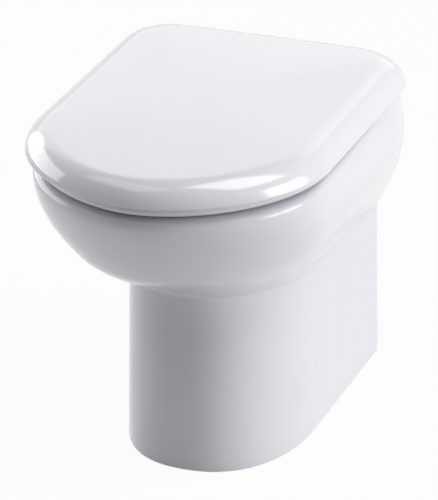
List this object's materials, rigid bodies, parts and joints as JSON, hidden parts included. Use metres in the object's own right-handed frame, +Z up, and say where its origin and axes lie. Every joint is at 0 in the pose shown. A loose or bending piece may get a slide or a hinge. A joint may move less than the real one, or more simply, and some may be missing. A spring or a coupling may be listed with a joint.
{
  "type": "back-to-wall toilet",
  "caption": "Floor-standing ceramic toilet pan that backs onto a wall, with a lift-up seat ring and a lift-up domed lid on two rear hinges.",
  "frame": {"origin": "on the floor under the middle of the whole outline: midway between the front edge of the lid and the wall, and on the centre line", "axes": "+X to the right as one faces the wall, +Y back towards the wall, +Z up"},
  "size_m": [0.358, 0.572, 0.4456],
  "materials": {
    "glazed_ceramic": "white gloss glaze",
    "seat_plastic": "white moulded, polished",
    "chrome": "polished chrome plate",
    "plated_steel": "zinc plated",
    "pale_rubber": "matt, pale grey",
    "dark_rubber": "matt, black",
    "nylon": "natural nylon"
  },
  "bodies": {
    "pan": {"pan": "glazed_ceramic", "hinge_post_left": "chrome", "hinge_gasket_left": "pale_rubber", "hinge_pin_left": "plated_steel", "hinge_bolt_left": "plated_steel", "cone_washer_left": "dark_rubber", "wing_nut_left": "nylon", "hinge_post_right": "chrome", "hinge_gasket_right": "pale_rubber", "hinge_pin_right": "plated_steel", "hinge_bolt_right": "plated_steel", "cone_washer_right": "dark_rubber", "wing_nut_right": "nylon"},
    "seat": {"seat_ring": "seat_plastic", "seat_bumper_rear_left": "pale_rubber", "seat_bumper_rear_right": "pale_rubber", "seat_bumper_front_left": "pale_rubber", "seat_bumper_front_right": "pale_rubber"},
    "lid": {"lid": "seat_plastic", "lid_bumper_rear_left": "pale_rubber", "lid_bumper_rear_right": "pale_rubber", "lid_bumper_front_left": "pale_rubber", "lid_bumper_front_right": "pale_rubber"}
  },
  "joints": [
    {"name": "seat_hinge", "type": "hinge", "parent": "pan", "child": "seat", "pos_m": [0, 0.221, 0.4175], "axis": [-1, 0, 0], "range_deg": [0, 94]},
    {"name": "lid_hinge", "type": "hinge", "parent": "seat", "child": "lid", "pos_m": [0, 0.221, 0.4175], "axis": [-1, 0, 0], "range_deg": [0, 86.5]}
  ]
}
